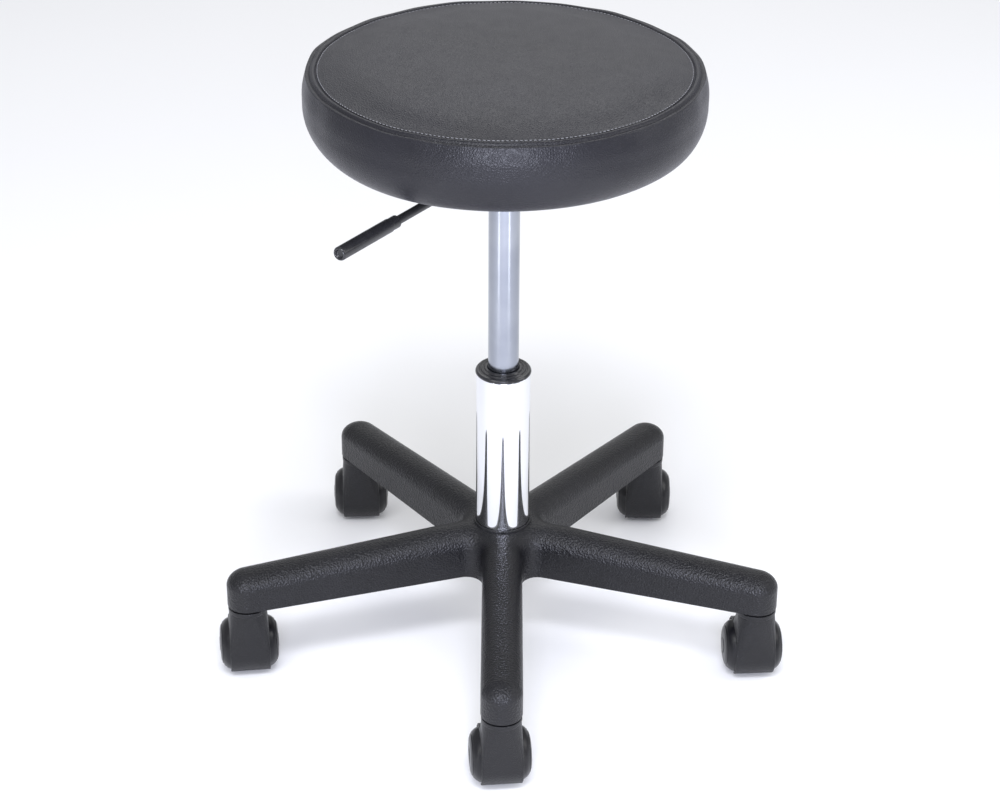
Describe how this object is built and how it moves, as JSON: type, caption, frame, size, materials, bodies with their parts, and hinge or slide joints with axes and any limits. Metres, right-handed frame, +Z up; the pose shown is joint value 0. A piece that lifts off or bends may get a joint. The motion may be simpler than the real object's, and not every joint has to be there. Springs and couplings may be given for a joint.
{
  "type": "adjustable swivel stool",
  "caption": "Round padded stool on a gas lift with a release lever, a star base and twin-wheel casters; the seat turns and rises.",
  "frame": {"origin": "middle of the base's footprint, on the floor; the column axis stands 14.4 mm behind it", "axes": "+Z up; one arm of the base points to -Y, the front; +X is to the right seen from the front"},
  "size_m": [0.5282, 0.5041, 0.58],
  "materials": {
    "leather": "fine-grained black faux leather, satin",
    "foam": "cut foam",
    "plywood": "raw plywood",
    "dust_cloth": "non-woven black cloth",
    "base_nylon": "pebble-grained black nylon",
    "caster_nylon": "fine-textured black nylon",
    "black_plastic": "smooth black plastic",
    "chrome": "polished chrome",
    "satin_chrome": "ground and chromed",
    "steel": "plain steel",
    "black_steel": "black powder coat",
    "rubber": "matt"
  },
  "bodies": {
    "base": {"star_base": "base_nylon", "outer_tube": "chrome", "guide_bush": "black_plastic", "bearing_race_lower": "steel"},
    "column_rod": {"piston_rod": "steel", "piston_head": "black_plastic", "bearing_cage": "steel", "bearing_race_upper": "steel", "bump_stop": "rubber", "retaining_washer": "steel", "retaining_clip": "black_steel"},
    "seat": {"gas_cylinder": "satin_chrome", "rod_seal": "rubber", "seat_cover_top": "leather", "seat_cover_band": "leather", "foam_pad": "foam", "seat_board": "plywood", "dust_cloth": "dust_cloth", "seat_plate": "black_steel", "taper_socket": "black_steel", "lever_bracket": "black_steel", "seat_screw_1": "steel", "seat_screw_2": "steel", "seat_screw_3": "steel", "seat_screw_4": "steel", "tee_nut_1": "steel", "tee_nut_2": "steel", "tee_nut_3": "steel", "tee_nut_4": "steel"},
    "release_lever": {"lever_rod": "black_steel", "lever_grip": "black_plastic", "lever_pivot_pin": "steel"},
    "valve_pin": {"valve_release_pin": "steel"},
    "caster_1": {"caster_hood_1": "caster_nylon", "caster_stem_1": "steel", "caster_axle_1": "steel"},
    "wheel_left_1": {"caster_wheel_left_1": "caster_nylon"},
    "wheel_right_1": {"caster_wheel_right_1": "caster_nylon"},
    "caster_2": {"caster_hood_2": "caster_nylon", "caster_stem_2": "steel", "caster_axle_2": "steel"},
    "wheel_left_2": {"caster_wheel_left_2": "caster_nylon"},
    "wheel_right_2": {"caster_wheel_right_2": "caster_nylon"},
    "caster_3": {"caster_hood_3": "caster_nylon", "caster_stem_3": "steel", "caster_axle_3": "steel"},
    "wheel_left_3": {"caster_wheel_left_3": "caster_nylon"},
    "wheel_right_3": {"caster_wheel_right_3": "caster_nylon"},
    "caster_4": {"caster_hood_4": "caster_nylon", "caster_stem_4": "steel", "caster_axle_4": "steel"},
    "wheel_left_4": {"caster_wheel_left_4": "caster_nylon"},
    "wheel_right_4": {"caster_wheel_right_4": "caster_nylon"},
    "caster_5": {"caster_hood_5": "caster_nylon", "caster_stem_5": "steel", "caster_axle_5": "steel"},
    "wheel_left_5": {"caster_wheel_left_5": "caster_nylon"},
    "wheel_right_5": {"caster_wheel_right_5": "caster_nylon"}
  },
  "joints": [
    {"name": "seat_swivel", "type": "hinge", "parent": "base", "child": "column_rod", "pos_m": [0, 0.01438, 0.07], "axis": [0, 0, 1], "continuous": true},
    {"name": "seat_lift", "type": "slide", "parent": "column_rod", "child": "seat", "axis": [0, 0, 1], "range_m": [-0.12, 0]},
    {"name": "lever_lift", "type": "hinge", "parent": "seat", "child": "release_lever", "pos_m": [-0.01699, -0.01034, 0.49], "axis": [-0.8241, 0.5664, 0], "range_deg": [0, 5], "stiffness_Nm_per_rad": 1.5, "springref_deg": -20.05},
    {"name": "valve_press", "type": "slide", "parent": "seat", "child": "valve_pin", "axis": [0, 0, 1], "range_m": [-0.0032, 0]},
    {"name": "caster_swivel_1", "type": "hinge", "parent": "base", "child": "caster_1", "pos_m": [0, -0.23312, 0.075], "axis": [0, 0, 1], "continuous": true},
    {"name": "wheel_left_1_spin", "type": "hinge", "parent": "caster_1", "child": "wheel_left_1", "pos_m": [-0.00125, -0.22118, 0.025], "axis": [0.9945, 0.1045, 0], "continuous": true},
    {"name": "wheel_right_1_spin", "type": "hinge", "parent": "caster_1", "child": "wheel_right_1", "pos_m": [-0.00125, -0.22118, 0.025], "axis": [0.9945, 0.1045, 0], "continuous": true},
    {"name": "caster_swivel_2", "type": "hinge", "parent": "base", "child": "caster_2", "pos_m": [0.23539, -0.0621, 0.075], "axis": [0, 0, 1], "continuous": true},
    {"name": "wheel_left_2_spin", "type": "hinge", "parent": "caster_2", "child": "wheel_left_2", "pos_m": [0.23455, -0.05013, 0.025], "axis": [0.9976, 0.0698, 0], "continuous": true},
    {"name": "wheel_right_2_spin", "type": "hinge", "parent": "caster_2", "child": "wheel_right_2", "pos_m": [0.23455, -0.05013, 0.025], "axis": [0.9976, 0.0698, 0], "continuous": true},
    {"name": "caster_swivel_3", "type": "hinge", "parent": "base", "child": "caster_3", "pos_m": [0.14548, 0.21462, 0.075], "axis": [0, 0, 1], "continuous": true},
    {"name": "wheel_left_3_spin", "type": "hinge", "parent": "caster_3", "child": "wheel_left_3", "pos_m": [0.14569, 0.22661, 0.025], "axis": [0.9998, -0.0175, 0], "continuous": true},
    {"name": "wheel_right_3_spin", "type": "hinge", "parent": "caster_3", "child": "wheel_right_3", "pos_m": [0.14569, 0.22661, 0.025], "axis": [0.9998, -0.0175, 0], "continuous": true},
    {"name": "caster_swivel_4", "type": "hinge", "parent": "base", "child": "caster_4", "pos_m": [-0.14548, 0.21462, 0.075], "axis": [0, 0, 1], "continuous": true},
    {"name": "wheel_left_4_spin", "type": "hinge", "parent": "caster_4", "child": "wheel_left_4", "pos_m": [-0.1461, 0.2266, 0.025], "axis": [0.9986, 0.0523, 0], "continuous": true},
    {"name": "wheel_right_4_spin", "type": "hinge", "parent": "caster_4", "child": "wheel_right_4", "pos_m": [-0.1461, 0.2266, 0.025], "axis": [0.9986, 0.0523, 0], "continuous": true},
    {"name": "caster_swivel_5", "type": "hinge", "parent": "base", "child": "caster_5", "pos_m": [-0.23539, -0.0621, 0.075], "axis": [0, 0, 1], "continuous": true},
    {"name": "wheel_left_5_spin", "type": "hinge", "parent": "caster_5", "child": "wheel_left_5", "pos_m": [-0.23706, -0.05021, 0.025], "axis": [0.9903, 0.1392, 0], "continuous": true},
    {"name": "wheel_right_5_spin", "type": "hinge", "parent": "caster_5", "child": "wheel_right_5", "pos_m": [-0.23706, -0.05021, 0.025], "axis": [0.9903, 0.1392, 0], "continuous": true}
  ],
  "couplings": [
    {"joint": "valve_press", "follows": "lever_lift", "m_per_rad": -0.033}
  ]
}
